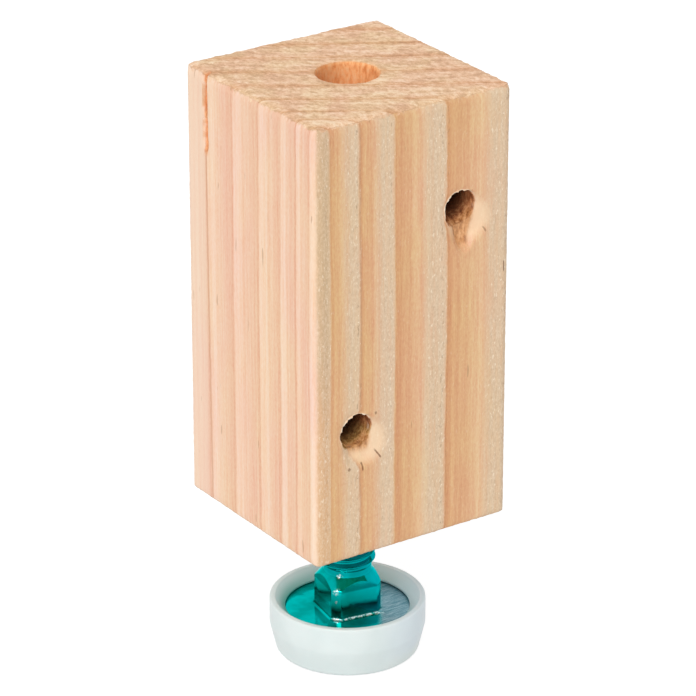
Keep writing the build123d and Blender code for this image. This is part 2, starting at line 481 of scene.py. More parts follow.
def make_collar():
    """The turned collar with its four spanner flats, a small fillet at its foot, and the neck above it."""
    foot_top = FLANGE_TOP + COLLAR_FOOT
    collar = turn_on_lathe("collar", [
        (0, foot_top, 0),
        (COLLAR_RADIUS, foot_top, 0),
        (COLLAR_RADIUS, COLLAR_TOP, 0.4),
        (NECK_RADIUS, CONE_TOP, 0.15),
        (NECK_RADIUS, NECK_TOP + 0.1, 0.2),
        (THREAD_ROOT - 0.1, NECK_TOP + 0.4, 0),
        (0, NECK_TOP + 0.4, 0),
    ], steps=96)
    for quarter in range(4):
        angle = COLLAR_TURN + quarter * pi / 2
        side = Vector((cos(angle), sin(angle), 0))
        cut_off(collar, side * COLLAR_HALF_FLATS, side)
    apply_modifier(collar, "BEVEL", width=0.16 * MM, segments=3, limit_method="ANGLE",
                   angle_limit=radians(25))

    # The foot flares out in a quarter round, and runs a little way into the flange
    select_faces(collar, lambda middle, normal: middle.z < foot_top + 0.01 and normal.z < -0.9)
    steps = 5
    reach = COLLAR_HALF_FLATS
    for step in range(1, steps + 1):
        angle = step / steps * pi / 2
        spread = COLLAR_HALF_FLATS + COLLAR_FOOT * (1 - cos(angle))
        drop = COLLAR_FOOT * (sin(angle) - sin((step - 1) / steps * pi / 2))
        bpy.ops.mesh.extrude_region_move(TRANSFORM_OT_translate={"value": (0, 0, -drop * MM)})
        bpy.ops.transform.resize(value=(spread / reach, spread / reach, 1), center_override=(0, 0, 0))
        reach = spread
    bpy.ops.mesh.extrude_region_move(TRANSFORM_OT_translate={"value": (0, 0, -0.3 * MM)})
    done()
    return collar


def make_thread():
    """A right-hand thread: one pitch of its outline, screwed up the shank, cut off and turned down."""
    half = THREAD_PITCH / 2
    crest = 0.07
    root = 0.2
    flank_top = THREAD_CREST - crest
    flank_foot = THREAD_ROOT + 0.05
    low = NECK_TOP - THREAD_TURNS_BELOW * THREAD_PITCH
    outline = [(THREAD_ROOT, 0), (flank_foot, root), (flank_top, half - 2 * crest),
               (THREAD_CREST, half - crest), (THREAD_CREST, half + crest),
               (flank_top, half + 2 * crest), (flank_foot, THREAD_PITCH - root),
               (THREAD_ROOT, THREAD_PITCH)]
    thread = draw("thread", [(r, low + z) for r, z in outline])
    turns = int((SCREW_HIGH.z - low) / THREAD_PITCH) + 3
    apply_modifier(thread, "SCREW", axis="Z", angle=2 * pi, screw_offset=THREAD_PITCH * MM,
                   iterations=turns, steps=40, render_steps=40, use_merge_vertices=True,
                   merge_threshold=0.001 * MM)
    edit(thread, "FACE")
    bpy.ops.mesh.remove_doubles(threshold=0.001 * MM)
    done()
    cut_off(thread, (0, 0, NECK_TOP), (0, 0, -1))
    cut_off(thread, (0, 0, SCREW_HIGH.z), (0, 0, 1))
    edit(thread, "FACE")
    bpy.ops.mesh.normals_make_consistent(inside=False)
    done()
    for vertex in thread.data.vertices:
        radius = (vertex.co.x ** 2 + vertex.co.y ** 2) ** 0.5 / MM
        from_end = min(vertex.co.z / MM - NECK_TOP, SCREW_HIGH.z - vertex.co.z / MM)
        allowed = THREAD_ROOT + (THREAD_CREST - THREAD_ROOT) * from_end / SHANK_CHAMFER
        if radius > allowed:
            vertex.co.x *= allowed / radius
            vertex.co.y *= allowed / radius
    return thread


def make_screw():
    """Flange, collar, neck and threaded shank with a driver slot, fused into one piece of steel."""
    screw = turn_on_lathe("plated_screw", [
        (0, CUP_FLOOR, 0),
        (FLANGE_RADIUS, CUP_FLOOR, 0.4),
        (FLANGE_RADIUS, FLANGE_TOP, 0.5),
        (0, FLANGE_TOP, 0),
    ])
    thread = make_thread()
    slot = box("slot", (-FLANGE_RADIUS, -SLOT_WIDTH / 2, SCREW_HIGH.z - SLOT_DEPTH),
               (FLANGE_RADIUS, SLOT_WIDTH / 2, SCREW_HIGH.z + 1))
    combine(thread, slot, "DIFFERENCE")
    combine(screw, make_collar(), "UNION")
    combine(screw, thread, "UNION")

    # Fusing leaves a few faces without area: they are taken out, and the faces around them made triangles
    edit(screw, "FACE")
    bpy.ops.mesh.dissolve_degenerate(threshold=0.001 * MM)
    bpy.ops.mesh.quads_convert_to_tris(quad_method="BEAUTY", ngon_method="BEAUTY")
    done()
    pick_up(screw)
    bpy.ops.object.shade_smooth_by_angle(angle=radians(32))
    return screw


# Glide cup

def make_cup():
    """The moulded cup: a rounded foot, a soft waist, a thin rim and the groove that holds the flange."""
    cup = turn_on_lathe("moulded_cup", [
        (0, 0, 0),
        (CUP_BASE_RADIUS, 0, 0.9),
        (CUP_RADIUS, CUP_TAPER_TOP, 4.0),
        (CUP_RADIUS, CUP_TOP, 0.35),
        (CUP_RADIUS - CUP_RIM, CUP_TOP, 0.3),
        (CUP_SNAP_RADIUS, CUP_SNAP_TOP, 0.2),
        (CUP_SNAP_RADIUS, CUP_SNAP_BOTTOM, 0.12),
        (CUP_GROOVE_RADIUS, CUP_SNAP_BOTTOM, 0.12),
        (CUP_GROOVE_RADIUS, CUP_FLOOR, 0.3),
        (0, CUP_FLOOR, 0),
    ], steps=160)
    pick_up(cup)
    bpy.ops.object.shade_smooth_by_angle(angle=radians(32))
    return cup


# Finishes

class Finish:
    """One material being mixed: short calls add and join its nodes. Places are in millimetres."""

    def __init__(self, name):
        self.material = bpy.data.materials.new(name)
        self.material.use_nodes = True
        self.tree = self.material.node_tree
        self.tree.nodes.clear()
        self.shader = self.node("ShaderNodeBsdfPrincipled")
        output = self.node("ShaderNodeOutputMaterial")
        self.tree.links.new(self.shader.outputs["BSDF"], output.inputs["Surface"])
        coordinates = self.node("ShaderNodeTexCoord")
        self.normal = coordinates.outputs["Normal"]
        self.place = self.scaled(coordinates.outputs["Object"], (1000, 1000, 1000))
        self.x, self.y, self.z = self.split(self.place)

    def node(self, kind, **settings):
        made = self.tree.nodes.new(kind)
        for name, value in settings.items():
            setattr(made, name, value)
        return made

    def feed(self, socket, value):
        if isinstance(value, bpy.types.NodeSocket):
            self.tree.links.new(value, socket)
        else:
            socket.default_value = value

    def set(self, **values):
        """Set inputs of the shader, named with underscores for spaces."""
        for name, value in values.items():
            self.feed(self.shader.inputs[name.replace("_", " ")], value)

    def scaled(self, vector, scale, turn=(0, 0, 0)):
        mapping = self.node("ShaderNodeMapping")
        self.feed(mapping.inputs["Vector"], vector)
        mapping.inputs["Scale"].default_value = scale
        mapping.inputs["Rotation"].default_value = turn
        return mapping.outputs["Vector"]

    def split(self, vector):
        parts = self.node("ShaderNodeSeparateXYZ")
        self.feed(parts.inputs["Vector"], vector)
        return parts.outputs["X"], parts.outputs["Y"], parts.outputs["Z"]

    def join(self, x, y, z):
        whole = self.node("ShaderNodeCombineXYZ")
        for name, value in zip("XYZ", (x, y, z)):
            self.feed(whole.inputs[name], value)
        return whole.outputs["Vector"]

    def math(self, operation, *values):
        sum_node = self.node("ShaderNodeMath", operation=operation)
        for socket, value in zip(sum_node.inputs, values):
            self.feed(socket, value)
        return sum_node.outputs["Value"]

    def times(self, *values):
        total = values[0]
        for value in values[1:]:
            total = self.math("MULTIPLY", total, value)
        return total

    def plus(self, *values):
        total = values[0]
        for value in values[1:]:
            total = self.math("ADD", total, value)
        return total

    def larger(self, first, second):
        return self.math("MAXIMUM", first, second)

    def size(self, value):
        """A value without its sign."""
        return self.math("ABSOLUTE", value)

    def length(self, *parts):
        """How long a line is, from its parts along X, Y and Z, or along any two of them."""
        return self.math("SQRT", self.plus(*[self.times(part, part) for part in parts]))

    def sway(self, clouds, width):
        """Cloudy values about 0 instead of about 0.5, over a width."""
        return self.times(self.plus(clouds, -0.5), width)

    def fade(self, value, start, end):
        """0 before start, 1 after end, and a smooth step between. It falls if end is below start."""
        step = self.node("ShaderNodeMapRange", interpolation_type="SMOOTHSTEP")
        rising = end > start
        for name, amount in (("Value", value), ("From Min", min(start, end)), ("From Max", max(start, end)),
                             ("To Min", 0.0 if rising else 1.0), ("To Max", 1.0 if rising else 0.0)):
            self.feed(step.inputs[name], amount)
        return step.outputs["Result"]

    def noise(self, scale, detail=2.0, roughness=0.5, stretch=(1, 1, 1), turn=(0, 0, 0), place=None):
        """Cloudy values about 0.5. The scale is in patches per millimetre."""
        clouds = self.node("ShaderNodeTexNoise")
        self.feed(clouds.inputs["Vector"], self.scaled(place or self.place, stretch, turn))
        clouds.inputs["Scale"].default_value = scale
        clouds.inputs["Detail"].default_value = detail
        clouds.inputs["Roughness"].default_value = roughness
        return clouds.outputs["Fac"]

    def ramp(self, value, stops, interpolation="LINEAR"):
        """Colours or grey levels along a value: stops are (position, colour or level)."""
        node = self.node("ShaderNodeValToRGB")
        node.color_ramp.interpolation = interpolation
        elements = node.color_ramp.elements
        while len(elements) < len(stops):
            elements.new(1.0)
        for element, (position, colour) in zip(elements, stops):
            element.position = position
            element.color = colour if isinstance(colour, tuple) else (colour, colour, colour, 1)
        self.feed(node.inputs["Fac"], value)
        return node.outputs["Color"]

    def mix(self, amount, first, second, blend="MIX"):
        """A blend of two colours. A Mix node's colour sockets are its inputs 6 and 7 and its output 2."""
        mixer = self.node("ShaderNodeMix", data_type="RGBA", blend_type=blend)
        self.feed(mixer.inputs["Factor"], amount)
        self.feed(mixer.inputs[6], first)
        self.feed(mixer.inputs[7], second)
        return mixer.outputs[2]

    def bump(self, height, depth):
        """Relief from a height of 0 to 1, over a depth in millimetres."""
        relief = self.node("ShaderNodeBump")
        relief.inputs["Strength"].default_value = 1.0
        relief.inputs["Distance"].default_value = depth * MM
        self.feed(relief.inputs["Height"], height)
        return relief.outputs["Normal"]


def rgb(red, green, blue):
    """A colour as it shows, from 0 to 255, turned into the linear values that a shader takes."""
    def linear(level):
        level /= 255
        return level / 12.92 if level <= 0.04045 else ((level + 0.055) / 1.055) ** 2.4
    return linear(red), linear(green), linear(blue), 1.0


def bare_softwood():
    """Planed and sawn softwood: growth rings through the block, end grain, and drilled walls."""
    wood = Finish("bare_softwood")
    x, y, z = wood.x, wood.y, wood.z
    normal_x, normal_y, normal_z = wood.split(wood.normal)
    on_side = wood.fade(normal_x, -0.35, -0.8)
    off_side = wood.fade(normal_x, -0.95, -0.35)
    on_front = wood.fade(normal_y, -0.2, -0.6)
    on_end = wood.fade(wood.size(normal_z), 0.55, 0.8)

    # How far into the rings a point lies, with a slow drift along the grain and a fine ragged edge
    across_front = wood.plus(x, HALF_SIDE)
    across_side = wood.plus(y, HALF_SIDE)
    smooth_depth = wood.plus(wood.times(across_front, RING_ACROSS_FRONT),
                             wood.times(across_side, RING_ACROSS_SIDE),
                             wood.times(across_front, across_front, RING_CURVE))
    along_ring = wood.plus(wood.times(x, RING_ACROSS_SIDE), wood.times(y, -RING_ACROSS_FRONT))
    drift = wood.sway(wood.noise(0.02, 1, 0.4, (0.4, 0.4, 1.0)), 0.5)
    ragged = wood.sway(wood.noise(2.0, 4, 0.7, (1.0, 1.0, 0.12)), 0.45)
    depth = wood.plus(smooth_depth, drift, ragged)
    on_span = wood.times(depth, 1 / RING_SPAN)
    ring_stops = [(0.0, 0.62)]
    for edge in RING_EDGES:
        ring_stops += [(edge / RING_SPAN, 1.0), (edge / RING_SPAN + 0.002, 0.0)]
    ring_stops.append((1.0, 0.9))
    share = wood.ramp(on_span, ring_stops)
    wool_stops = [(0.0, 0.5), (RING_EDGES[0] / RING_SPAN, 0.8), (RING_EDGES[0] / RING_SPAN + 0.004, 0.0)]
    for start, end in zip(WOOL_STARTS, RING_EDGES[1:]):
        wool_stops += [((start - 0.5) / RING_SPAN, 0.0), ((start + 0.5) / RING_SPAN, 0.9),
                       (end / RING_SPAN, 1.0), (end / RING_SPAN + 0.004, 0.0)]
    in_wool = wood.ramp(on_span, wool_stops)

    # Colour along one ring: orange just past the sharp line, then tan, and pale towards the next line
    front = wood.ramp(share, [
        (0.0, rgb(202, 149, 106)), (0.05, rgb(218, 170, 126)), (0.35, rgb(225, 183, 141)),
        (0.6, rgb(232, 195, 158)), (1.0, rgb(237, 210, 179))])
    side = wood.ramp(share, [
        (0.0, rgb(226, 182, 154)), (0.06, rgb(235, 194, 166)), (0.3, rgb(238, 201, 175)),
        (0.6, rgb(241, 207, 181)), (0.75, rgb(245, 215, 192)), (1.0, rgb(244, 214, 192))])
    # Painted light: the left face takes a lighter, pinker ramp. The pink is the wood's own; the extra
    # lightness stands in for the key light falling on that side.
    colour = wood.mix(on_side, front, side)

    # Fine lines that run with the rings, fibres and speckle along the grain
    lines = wood.noise(1.0, 3, 0.6, place=wood.join(wood.times(depth, 1.5), 0.0, wood.times(z, 0.01)))
    fibres = wood.noise(3.0, 4, 0.65, (1.0, 1.0, 0.05))
    speckle = wood.noise(3.2, 2, 0.6, (1.0, 1.0, 0.4))
    for amount, grain, tones in ((0.6, lines, [(0.3, 0.36), (0.5, 0.5), (0.7, 0.64)]),
                                 (0.6, fibres, [(0.3, 0.40), (0.7, 0.60)]),
                                 (0.5, speckle, [(0.35, 0.42), (0.65, 0.58)])):
        colour = wood.mix(amount, colour, wood.ramp(grain, tones), "OVERLAY")

    # Slow patches of pink and yellow, and paler wood behind the resin crack
    patches = wood.noise(0.1, 2, 0.5, (1.0, 1.0, 0.4))
    tint = wood.ramp(patches, [(0.35, rgb(255, 240, 238)), (0.65, rgb(255, 252, 238))])
    colour = wood.mix(0.7, colour, tint, "MULTIPLY")
    beyond_crack = wood.times(on_side, wood.fade(y, 12.6, 14.4), 0.5)
    colour = wood.mix(beyond_crack, colour, rgb(246, 220, 200))

    # Woolly late wood: streaks and fine flecks of pale and grey, strongest on the front face
    past_front = wood.fade(normal_y, -0.6, -0.2)
    woolly = wood.times(in_wool, off_side, wood.plus(wood.times(past_front, -0.4), 1.0))
    wool = wood.noise(3.2, 3, 0.75, (1.0, 1.0, 0.5))
    streaks = wood.noise(1.3, 2, 0.6, (1.0, 1.0, 0.08))
    fluff = wood.plus(wood.times(wool, 0.75), wood.times(streaks, 0.25))
    flecks = wood.ramp(fluff, [(0.39, rgb(209, 182, 151)), (0.46, rgb(216, 190, 159)),
                               (0.54, rgb(222, 197, 167)), (0.62, rgb(232, 211, 185))])
    streaky = wood.ramp(streaks, [(0.35, 0.45), (0.6, 0.9)])
    colour = wood.mix(wood.times(woolly, streaky), colour, flecks)
    front_edge = wood.times(wood.fade(smooth_depth, 1.9, 1.3), wood.fade(normal_x, -0.95, -0.5),
                            wood.ramp(fluff, [(0.42, 0.8), (0.58, 0.35)]))
    streaky_z = wood.plus(z, wood.times(streaks, 14.0))
    edge_tone = wood.mix(wood.fade(streaky_z, 56, 76), rgb(216, 170, 126), rgb(200, 170, 134))
    colour = wood.mix(front_edge, colour, edge_tone)

    # Pale torn fibres scattered over the front face, dark specks along its ring lines, and a few short pores
    fleck = wood.fade(wood.noise(2.0, 3, 0.65, (1.3, 1.0, 0.5), (0, radians(24), 0)), 0.6, 0.66)
    fleck = wood.times(fleck, off_side, wood.plus(wood.times(in_wool, 0.55), 0.15),
                       wood.plus(wood.times(on_front, 0.75), 0.25))
    colour = wood.mix(fleck, colour, rgb(252, 236, 212))
    near_line = wood.larger(wood.fade(share, 0.9, 0.99), wood.fade(share, 0.05, 0.01))
    near_line = wood.plus(near_line, wood.times(in_wool, 0.3))
    specks = wood.fade(wood.noise(1.7, 3, 0.7, (1.0, 1.0, 0.45)), 0.55, 0.64)
    specks = wood.times(specks, near_line, off_side, on_front, 0.5)
    colour = wood.mix(specks, colour, rgb(150, 118, 90))
    pores = wood.fade(wood.noise(1.1, 1, 0.5, (1.0, 1.0, 0.13)), 0.735, 0.765)
    colour = wood.mix(wood.times(pores, 0.5), colour, rgb(168, 128, 92))

    # End grain: short torn blotches in rows along the rings, with a browner line where each ring starts
    slanted = wood.plus(wood.times(smooth_depth, 1.1), wood.times(along_ring, 0.35))
    blotches = wood.noise(1.0, 4, 0.75, place=wood.join(slanted, wood.times(along_ring, 0.8), z))
    in_rows = wood.join(wood.times(smooth_depth, 0.8), wood.times(along_ring, 0.12), z)
    rows = wood.noise(1.0, 2, 0.5, place=in_rows)
    end_tone = wood.ramp(wood.plus(wood.times(blotches, 0.7), wood.times(rows, 0.3)), [
        (0.38, rgb(206, 168, 134)), (0.46, rgb(224, 187, 151)), (0.51, rgb(236, 201, 166)),
        (0.6, rgb(249, 224, 196))])
    end_line = wood.ramp(share, [
        (0.0, rgb(224, 194, 168)), (0.12, rgb(246, 234, 222)), (0.3, 1.0), (0.85, 1.0),
        (1.0, rgb(240, 222, 208))])
    end_tone = wood.mix(0.8, end_tone, end_line, "MULTIPLY")
    pinks = wood.ramp(wood.noise(0.16, 2, 0.5), [(0.4, rgb(255, 240, 238)), (0.6, rgb(255, 252, 240))])
    end_tone = wood.mix(0.6, end_tone, pinks, "MULTIPLY")
    fray_height = wood.plus(z, wood.times(wood.noise(1.0, 3, 0.6), 2.4))
    frayed = wood.times(wood.fade(fray_height, BLOCK_HIGH.z + 0.35, BLOCK_HIGH.z + 0.75), 0.8)
    colour = wood.mix(wood.larger(on_end, frayed), colour, end_tone)

    # Where the drill went: its walls, painted shade deeper in the fixing holes, the torn troughs, the pale
    # dish beside each mouth and the rims
    from_axis = wood.length(x, y)
    below_end = wood.fade(z, BLOCK_HIGH.z - 0.05, BLOCK_HIGH.z - 0.4)
    walls = wood.times(wood.fade(from_axis, NUT_POCKET_RADIUS + 0.6, NUT_POCKET_RADIUS + 0.2), below_end)
    near_front = wood.fade(y, FRONT_Y + 3.0, FRONT_Y + 2.0)
    troughs, lit_pale_dishes, deep_hole_shade, rims = 0.0, 0.0, 0.0, 0.0
    for mouth, trough_end in ((UPPER_HOLE, -7.6), (LOWER_HOLE, -4.6)):
        across = wood.plus(x, -mouth.x)
        above = wood.plus(z, -mouth.z)
        up = wood.plus(wood.times(above, DRILL.y), wood.times(wood.plus(y, -mouth.y), -DRILL.z))
        away = wood.length(across, up)
        inside = wood.times(wood.fade(away, HOLE_RADIUS + 0.55, HOLE_RADIUS + 0.25),
                            wood.fade(y, FRONT_Y + 0.15, FRONT_Y + 0.6))
        walls = wood.larger(walls, inside)
        deep_hole_shade = wood.larger(deep_hole_shade, wood.times(inside, wood.fade(y, FRONT_Y + 1.2, FRONT_Y + 6.5)))
        narrowing = wood.plus(wood.size(wood.plus(across, -0.7)), wood.times(up, -0.3))
        trough = wood.times(wood.fade(narrowing, 3.4, 2.5), wood.fade(up, trough_end, trough_end + 1.6),
                            wood.fade(up, -0.8, -2.0), near_front)
        troughs = wood.larger(troughs, trough)
        rim = wood.times(wood.fade(away, HOLE_RADIUS + 0.65, HOLE_RADIUS + 0.3),
                         wood.fade(y, FRONT_Y + 0.6, FRONT_Y + 0.2))
        rims = wood.larger(rims, wood.times(rim, wood.fade(up, -1.5, 0.0)))
        from_dish = wood.length(wood.plus(across, -DISH_SHIFT.x), wood.plus(above, -DISH_SHIFT.z))
        in_dish = wood.times(wood.fade(from_dish, DISH_RADIUS + 0.2, DISH_RADIUS - 1.6), near_front)
        lit_pale_dishes = wood.larger(lit_pale_dishes, wood.larger(in_dish, rim))

    # The pale dish beside each mouth, partly crushed fibre and partly painted light where it faces the key
    # light; orange walls in the driver bore, with painted shade on their left side; redder and olive ones in
    # the fixing holes
    colour = wood.mix(wood.times(lit_pale_dishes, 0.6), colour, rgb(250, 220, 184))
    scorch = wood.noise(1.4, 4, 0.7, (1.0, 1.0, 0.35))
    bore_wall = wood.ramp(scorch, [(0.35, rgb(228, 146, 86)), (0.52, rgb(255, 188, 128)),
                                   (0.68, rgb(255, 208, 156))])
    red_wall = wood.ramp(scorch, [(0.36, rgb(126, 72, 40)), (0.5, rgb(178, 110, 66)),
                                  (0.64, rgb(222, 156, 104))])
    olive_wall = wood.ramp(scorch, [(0.36, rgb(118, 80, 34)), (0.5, rgb(168, 124, 64)),
                                    (0.64, rgb(214, 168, 104))])
    torn = wood.ramp(scorch, [(0.36, rgb(152, 94, 48)), (0.5, rgb(200, 138, 84)),
                              (0.64, rgb(232, 176, 124))])
    hole_wall = wood.mix(wood.fade(z, LOWER_HOLE.z + 1.0, LOWER_HOLE.z - 1.0), red_wall, olive_wall)
    # Painted shade: the driver bore's wall darkens towards its left side
    to_left = wood.fade(wood.plus(wood.times(x, 0.825), wood.times(y, -0.565)), 1.5, -4.5)
    bore_wall = wood.mix(wood.times(to_left, 0.45), bore_wall, rgb(196, 134, 82))
    in_hole = wood.math("GREATER_THAN", from_axis, NUT_POCKET_RADIUS + 0.7)
    colour = wood.mix(walls, colour, wood.mix(in_hole, bore_wall, hole_wall))
    # Painted shade: the fixing holes darken towards their depths
    colour = wood.mix(deep_hole_shade, colour, rgb(84, 48, 26))
    colour = wood.mix(wood.times(troughs, 0.85), colour, torn)
    torn_rims = wood.times(rims, wood.ramp(fluff, [(0.42, 0.1), (0.54, 0.9)]))
    colour = wood.mix(torn_rims, colour, rgb(253, 238, 216))

    # Short splits and nicks on the front face
    before_front = wood.fade(y, FRONT_Y + 0.6, FRONT_Y + 0.4)
    for start, end, half_width, dark in NICKS:
        length = (Vector(end) - Vector(start)).length
        along = (Vector(end) - Vector(start)).normalized()
        from_x, from_z = wood.plus(x, -start[0]), wood.plus(z, -start[1])
        run = wood.plus(wood.times(from_x, along.x), wood.times(from_z, along.y))
        beside = wood.size(wood.plus(wood.times(from_x, -along.y), wood.times(from_z, along.x)))
        beside = wood.plus(beside, wood.sway(fibres, half_width * 2))
        nick = wood.times(wood.fade(beside, half_width * 1.4, half_width * 0.6),
                          wood.fade(run, -0.2, 0.2), wood.fade(run, length + 0.2, length - 0.2),
                          before_front, dark)
        colour = wood.mix(nick, colour, rgb(110, 66, 36))

    # The resin crack: a thin brown line down the left face, orange and open at its top end
    crack = wood.plus(crack_middle(0.0), wood.times(z, RESIN_CRACK_DRIFT))
    wander = wood.sway(wood.noise(0.25, 2, 0.5, (0.0, 0.0, 1.0)), 0.5)
    from_crack = wood.size(wood.plus(y, wood.times(crack, -1.0), wander))
    line = wood.times(wood.fade(from_crack, 0.32, 0.12), on_side, 0.55)
    colour = wood.mix(line, colour, rgb(205, 146, 112))
    resin_foot = BLOCK_HIGH.z - RESIN_CRACK_OPEN
    resin = wood.times(wood.fade(from_crack, 0.75, 0.4), wood.fade(z, resin_foot - 0.8, resin_foot + 0.8),
                       wood.fade(x, BLOCK_LOW.x + 1.4, BLOCK_LOW.x + 1.0), 0.9)
    resin_tone = wood.ramp(scorch, [(0.38, rgb(206, 122, 66)), (0.6, rgb(246, 176, 122))])
    colour = wood.mix(resin, colour, resin_tone)

    # Relief: fibres, woolly rings, saw lines over the planed faces, the torn end grain and drilled walls
    saw_lines = wood.noise(1.0, 1, 0.5, (0.05, 0.05, 1.1))
    height = wood.plus(wood.times(fibres, 0.3), wood.times(wool, woolly, 0.3), wood.times(saw_lines, 0.2),
                       wood.times(blotches, on_end, 1.6), wood.times(scorch, walls, 1.5))
    wood.set(Base_Color=colour, Roughness=0.72, Normal=wood.bump(height, 0.12), Specular_IOR_Level=0.25)
    return wood.material


def teal_plating():
    """Glossy blue-green plating over steel, scratched on the flange, with painted reflections on the flats
    and the rubbed flange and painted highlights at a few edges.
    """
    plating = Finish("teal_plating")
    x, y, z = plating.x, plating.y, plating.z

    def along(angle, shift=0.0):
        """How far a point lies from the screw's axis, towards an angle about it."""
        return plating.plus(plating.times(x, cos(angle)), plating.times(y, sin(angle)), shift)

    # Deeper and lighter patches, bluer to the right, a painted reflection on the flats' upper half, and
    # darker on the thread
    colour = plating.ramp(plating.noise(0.16, 3, 0.55), [
        (0.35, (0.0, 0.27, 0.24, 1)), (0.5, (0.0, 0.40, 0.38, 1)), (0.65, (0.0, 0.50, 0.48, 1))])
    above_flange = plating.fade(z, FLANGE_TOP + 0.3, FLANGE_TOP + 0.8)
    to_right = plating.fade(plating.plus(x, plating.times(y, -0.4)), -1.0, 5.0)
    colour = plating.mix(plating.times(to_right, above_flange, 0.6), colour, (0.0, 0.36, 0.44, 1))
    painted_flat_reflection = plating.times(plating.fade(z, COLLAR_TOP - 3.6, COLLAR_TOP - 2.6),
                             plating.fade(z, COLLAR_TOP - 0.1, COLLAR_TOP - 0.5), 0.9)
    colour = plating.mix(painted_flat_reflection, colour, (0.0, 0.95, 0.97, 1))
    on_thread = plating.times(plating.fade(z, CONE_TOP - 0.5, CONE_TOP + 0.5), 0.4)
    colour = plating.mix(on_thread, colour, (0.0, 0.2, 0.25, 1))

    # The rubbed side of the flange, down to fine scratches in bare steel; its blue-grey is partly painted
    # reflection
    wear_and_reflection = plating.times(plating.fade(along(RUB_AND_REFLECTION_ANGLE), 4.6, 6.6),
                         plating.fade(z, FLANGE_TOP + 0.6, FLANGE_TOP + 0.2))
    scratches = plating.noise(2.2, 3, 0.75, (0.22, 3.2, 1.0), (0, 0, radians(50)))
    bare = plating.ramp(scratches, [(0.38, (0.10, 0.19, 0.24, 1)), (0.52, (0.28, 0.35, 0.43, 1)),
                                    (0.66, (0.50, 0.54, 0.62, 1))])
    colour = plating.mix(plating.times(wear_and_reflection, 0.95), colour, bare)

    # Painted highlights: near-white spots at the near corner of the collar and where the neck meets the cone
    spots = plating.noise(2.2, 3, 0.7)
    painted_glints = 0.0
    for reach, height, radius in GLINT_SPOTS:
        away = plating.length(plating.plus(x, -reach * cos(GLINT_CORNER)),
                              plating.plus(y, -reach * sin(GLINT_CORNER)), plating.plus(z, -height))
        ragged_away = plating.plus(away, plating.times(spots, radius * 2.2))
        painted_glints = plating.larger(painted_glints, plating.fade(ragged_away, radius * 1.8, radius * 1.3))

    # A painted highlight: a broken pale line along the foot of the near flat
    flat = COLLAR_TURN - pi / 2
    from_flat = along(flat, -COLLAR_HALF_FLATS)
    painted_foot_glint = plating.times(plating.fade(from_flat, -0.05, 0.1), plating.fade(from_flat, 0.55, 0.4),
                              plating.fade(z, FLANGE_TOP + 0.6, FLANGE_TOP + 0.5),
                              plating.fade(z, FLANGE_TOP - 0.5, FLANGE_TOP - 0.3),
                              plating.fade(plating.size(along(flat + pi / 2)), 4.9, 4.5),
                              plating.fade(spots, 0.47, 0.53))
    painted_glints = plating.larger(painted_glints, painted_foot_glint)
    colour = plating.mix(plating.times(painted_glints, 0.9), colour, (0.85, 0.95, 0.97, 1))

    roughness = plating.plus(plating.times(scratches, 0.08), plating.times(wear_and_reflection, 0.2),
                             plating.times(painted_glints, 0.15), 0.07)
    relief = plating.plus(plating.times(scratches, wear_and_reflection), plating.times(plating.noise(0.5, 2), 0.6))
    plating.set(Base_Color=colour, Metallic=1.0, Roughness=roughness, Normal=plating.bump(relief, 0.03),
                Specular_Tint=(0.25, 0.9, 0.88, 1.0))
    return plating.material


def milky_plastic():
    """Natural white moulded plastic that lets a little light through, with a painted reflection of the
    plating and painted shade on its inner wall, painted light on the inner right and painted shade on the
    outer right.
    """
    plastic = Finish("milky_plastic")
    x, y, z = plastic.x, plastic.y, plastic.z
    cloud = plastic.noise(0.12, 3, 0.5)
    colour = plastic.ramp(cloud, [(0.4, rgb(218, 229, 228)), (0.6, rgb(224, 234, 233))])
    # Painted reflection and shade: a teal tint of the plating on the inner wall below the rim, stronger to
    # the left
    inside = plastic.times(plastic.fade(plastic.length(x, y), CUP_RADIUS - 0.55, CUP_RADIUS - 0.95),
                           plastic.fade(z, CUP_FLOOR, CUP_FLOOR + 0.5))
    below_rim = plastic.fade(z, CUP_TOP - 0.2, CUP_SNAP_TOP)
    to_left = plastic.fade(plastic.plus(x, plastic.times(y, 0.1)), 3.0, -11.0)
    painted_teal_reflection = plastic.times(inside, plastic.plus(plastic.times(to_left, 0.4), 0.46), below_rim)
    colour = plastic.mix(painted_teal_reflection, colour, rgb(62, 166, 150))
    # Painted light: the inner wall turns pale on its right side
    painted_lit_side = plastic.times(inside, plastic.fade(x, 4.0, 11.0), 0.7)
    colour = plastic.mix(painted_lit_side, colour, rgb(250, 253, 253))
    # Painted shade: the outer right side turns greyer and bluer
    painted_shaded_side = plastic.times(plastic.fade(plastic.plus(x, plastic.times(y, -0.8)), 6.0, 17.0),
                              plastic.fade(z, 0.5, 4.0), 0.5)
    colour = plastic.mix(painted_shaded_side, colour, rgb(210, 225, 238))
    grain = plastic.noise(3.0, 2, 0.5)
    plastic.set(Base_Color=colour, Roughness=plastic.plus(plastic.times(grain, 0.1), 0.36),
                Normal=plastic.bump(plastic.noise(0.5, 2), 0.02), Subsurface_Weight=0.3,
                Subsurface_Radius=(0.8, 1.0, 1.0), Subsurface_Scale=2.0 * MM)
    return plastic.material


def bright_zinc():
    """Bright zinc plate on the pressed nut, with a faint cloudy spangle."""
    zinc = Finish("bright_zinc")
    cloud = zinc.noise(0.6, 3, 0.6)
    colour = zinc.ramp(cloud, [(0.35, (0.42, 0.43, 0.45, 1)), (0.65, (0.62, 0.63, 0.64, 1))])
    zinc.set(Base_Color=colour, Metallic=1.0, Roughness=zinc.plus(zinc.times(cloud, 0.2), 0.2),
             Normal=zinc.bump(zinc.noise(1.5, 3), 0.02))
    return zinc.material


# Stage, light and camera

